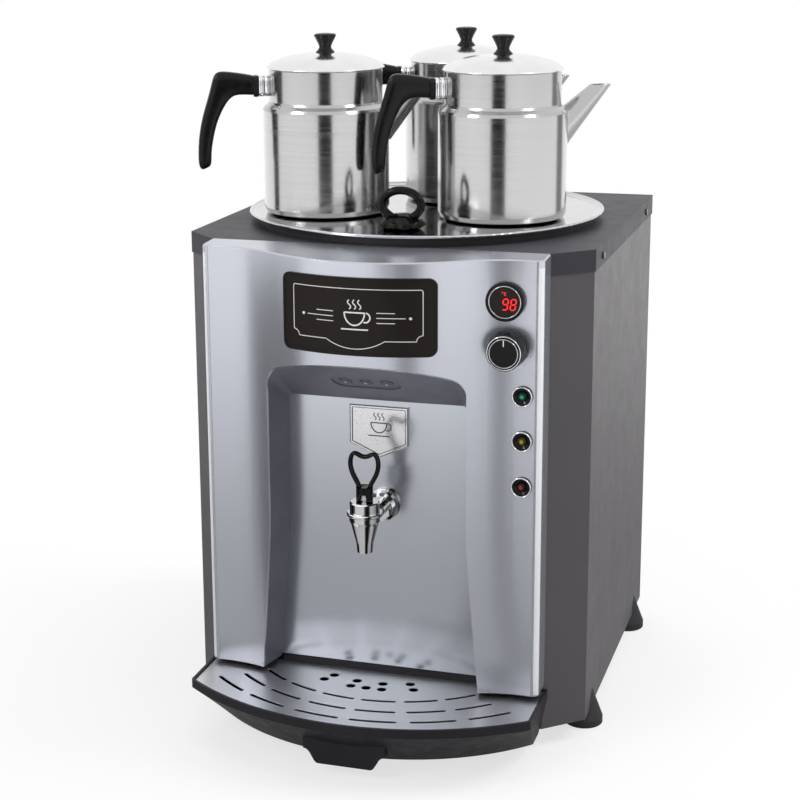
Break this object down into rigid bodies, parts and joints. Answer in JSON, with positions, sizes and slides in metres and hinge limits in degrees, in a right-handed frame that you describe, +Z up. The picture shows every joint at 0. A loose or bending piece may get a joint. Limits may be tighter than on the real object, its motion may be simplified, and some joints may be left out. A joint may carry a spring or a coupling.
{
  "type": "hot water urn",
  "caption": "Countertop tea boiler with a spring tap in a lit niche, slotted drip tray, thermostat dial and display, and lidded teapots standing on its dished steel top",
  "frame": {"origin": "on the table, midway between the front of the drip tray and the back of the cable gland, in the upright plane midway between the side panels", "axes": "+X to the right seen from the front, +Y to the back, +Z up; the tap and the drip tray face -Y"},
  "size_m": [0.4569, 0.57, 0.7206],
  "materials": {
    "housing_paint": "dark warm grey powder coat with a satin sheen",
    "cover_paint": "dark grey powder coat with a fine texture",
    "fascia_metal": "bluish silver, finely brushed",
    "niche_plastic": "moulded dark grey",
    "niche_steel": "brushed stainless steel",
    "pot_steel": "spun stainless steel, fine upright grain",
    "lid_steel": "polished stainless steel",
    "dish_steel": "polished stainless steel",
    "grille_steel": "fine brushed stainless steel",
    "tray_plastic": "black moulded plastic, satin",
    "handle_plastic": "black bakelite, satin",
    "gloss_black": "black moulded plastic, glossy",
    "bright_chrome": "bright chrome plate",
    "plate_black": "near-black lacquered plate with a silver rim",
    "window_black": "dark display window",
    "lens_green": "green signal lens",
    "lens_amber": "amber signal lens",
    "lens_red": "dark red signal lens",
    "lens_clear": "clear lens",
    "black_rubber": "black rubber",
    "inner_steel": "plain stainless steel",
    "zinc_steel": "zinc-plated steel",
    "insulator": "pale moulded insulator"
  },
  "bodies": {
    "urn": {"top_cover": "cover_paint", "right_side_panel": "housing_paint", "left_side_panel": "housing_paint", "back_panel": "housing_paint", "base_plate": "housing_paint", "case_screws": "zinc_steel", "feet": "black_rubber", "foot_screws": "zinc_steel", "front_fascia": "fascia_metal", "niche_liner": "niche_plastic", "niche_back_panel": "niche_steel", "hood_light_plate": "niche_plastic", "hood_light_lenses": "lens_clear", "name_plate": "plate_black", "tap_badge": "bright_chrome", "display_bezel": "gloss_black", "display_window": "window_black", "thermostat_control": "gloss_black", "lamp_bodies": "gloss_black", "lamp_lens_green": "lens_green", "lamp_lens_amber": "lens_amber", "lamp_lens_red": "lens_red", "tap_body": "bright_chrome", "tap_bonnet": "bright_chrome", "tap_spring": "inner_steel", "tap_collar": "bright_chrome", "tap_nut": "zinc_steel", "tray_shelf": "housing_paint", "boiler_tank": "inner_steel", "tank_supports": "zinc_steel", "heating_element": "inner_steel", "tap_feed_pipe": "zinc_steel", "terminal_block": "insulator", "cable_gland": "gloss_black", "top_dish": "dish_steel", "dish_gasket": "black_rubber"},
    "thermostat": {"thermostat_knob": "gloss_black", "knob_trim_ring": "bright_chrome", "thermostat_spindle": "zinc_steel"},
    "tap_lever": {"tap_handle": "gloss_black", "tap_pivot_pin": "inner_steel"},
    "tap_valve": {"tap_stem": "inner_steel", "tap_seat_cup": "black_rubber"},
    "tray": {"drip_tray": "tray_plastic"},
    "grille": {"drip_grille": "grille_steel"},
    "cap": {"filler_cap": "gloss_black"},
    "teapot_1": {"teapot_1_body": "pot_steel", "teapot_1_handle": "handle_plastic"},
    "lid_1": {"teapot_1_lid": "lid_steel", "teapot_1_lid_knob": "handle_plastic"},
    "teapot_2": {"teapot_2_body": "pot_steel", "teapot_2_handle": "handle_plastic"},
    "lid_2": {"teapot_2_lid": "lid_steel", "teapot_2_lid_knob": "handle_plastic"},
    "teapot_3": {"teapot_3_body": "pot_steel", "teapot_3_handle": "handle_plastic"},
    "lid_3": {"teapot_3_lid": "lid_steel", "teapot_3_lid_knob": "handle_plastic"}
  },
  "joints": [
    {"name": "thermostat_turn", "type": "hinge", "parent": "urn", "child": "thermostat", "pos_m": [0.1435, -0.197, 0.431], "axis": [0, 1, 0], "range_deg": [0, 270]},
    {"name": "tap_pull", "type": "hinge", "parent": "urn", "child": "tap_lever", "pos_m": [0.008, -0.213, 0.283], "axis": [1, 0, 0], "range_deg": [0, 35], "stiffness_Nm_per_rad": 0.06, "springref_deg": -11.46},
    {"name": "tap_valve_lift", "type": "slide", "parent": "urn", "child": "tap_valve", "axis": [0, 0, 1], "range_m": [0, 0.003], "deforming": ["tap_spring"]},
    {"name": "tray_slide", "type": "slide", "parent": "urn", "child": "tray", "axis": [0, -1, 0], "range_m": [0, 0.12]},
    {"name": "grille_lift", "type": "slide", "parent": "tray", "child": "grille", "axis": [0, 0, 1], "range_m": [0, 0.0045]},
    {"name": "cap_lift", "type": "slide", "parent": "urn", "child": "cap", "axis": [0, 0, 1], "range_m": [0, 0.06]},
    {"name": "teapot_1_lift", "type": "slide", "parent": "urn", "child": "teapot_1", "axis": [0, 0, 1], "range_m": [0, 0.15]},
    {"name": "lid_1_lift", "type": "slide", "parent": "teapot_1", "child": "lid_1", "axis": [0, 0, 1], "range_m": [0, 0.05]},
    {"name": "teapot_2_lift", "type": "slide", "parent": "urn", "child": "teapot_2", "axis": [0, 0, 1], "range_m": [0, 0.15]},
    {"name": "lid_2_lift", "type": "slide", "parent": "teapot_2", "child": "lid_2", "axis": [0, 0, 1], "range_m": [0, 0.05]},
    {"name": "teapot_3_lift", "type": "slide", "parent": "urn", "child": "teapot_3", "axis": [0, 0, 1], "range_m": [0, 0.15]},
    {"name": "lid_3_lift", "type": "slide", "parent": "teapot_3", "child": "lid_3", "axis": [0, 0, 1], "range_m": [0, 0.05]}
  ],
  "couplings": [
    {"joint": "tap_valve_lift", "follows": "tap_pull", "m_per_rad": 0.0049}
  ]
}
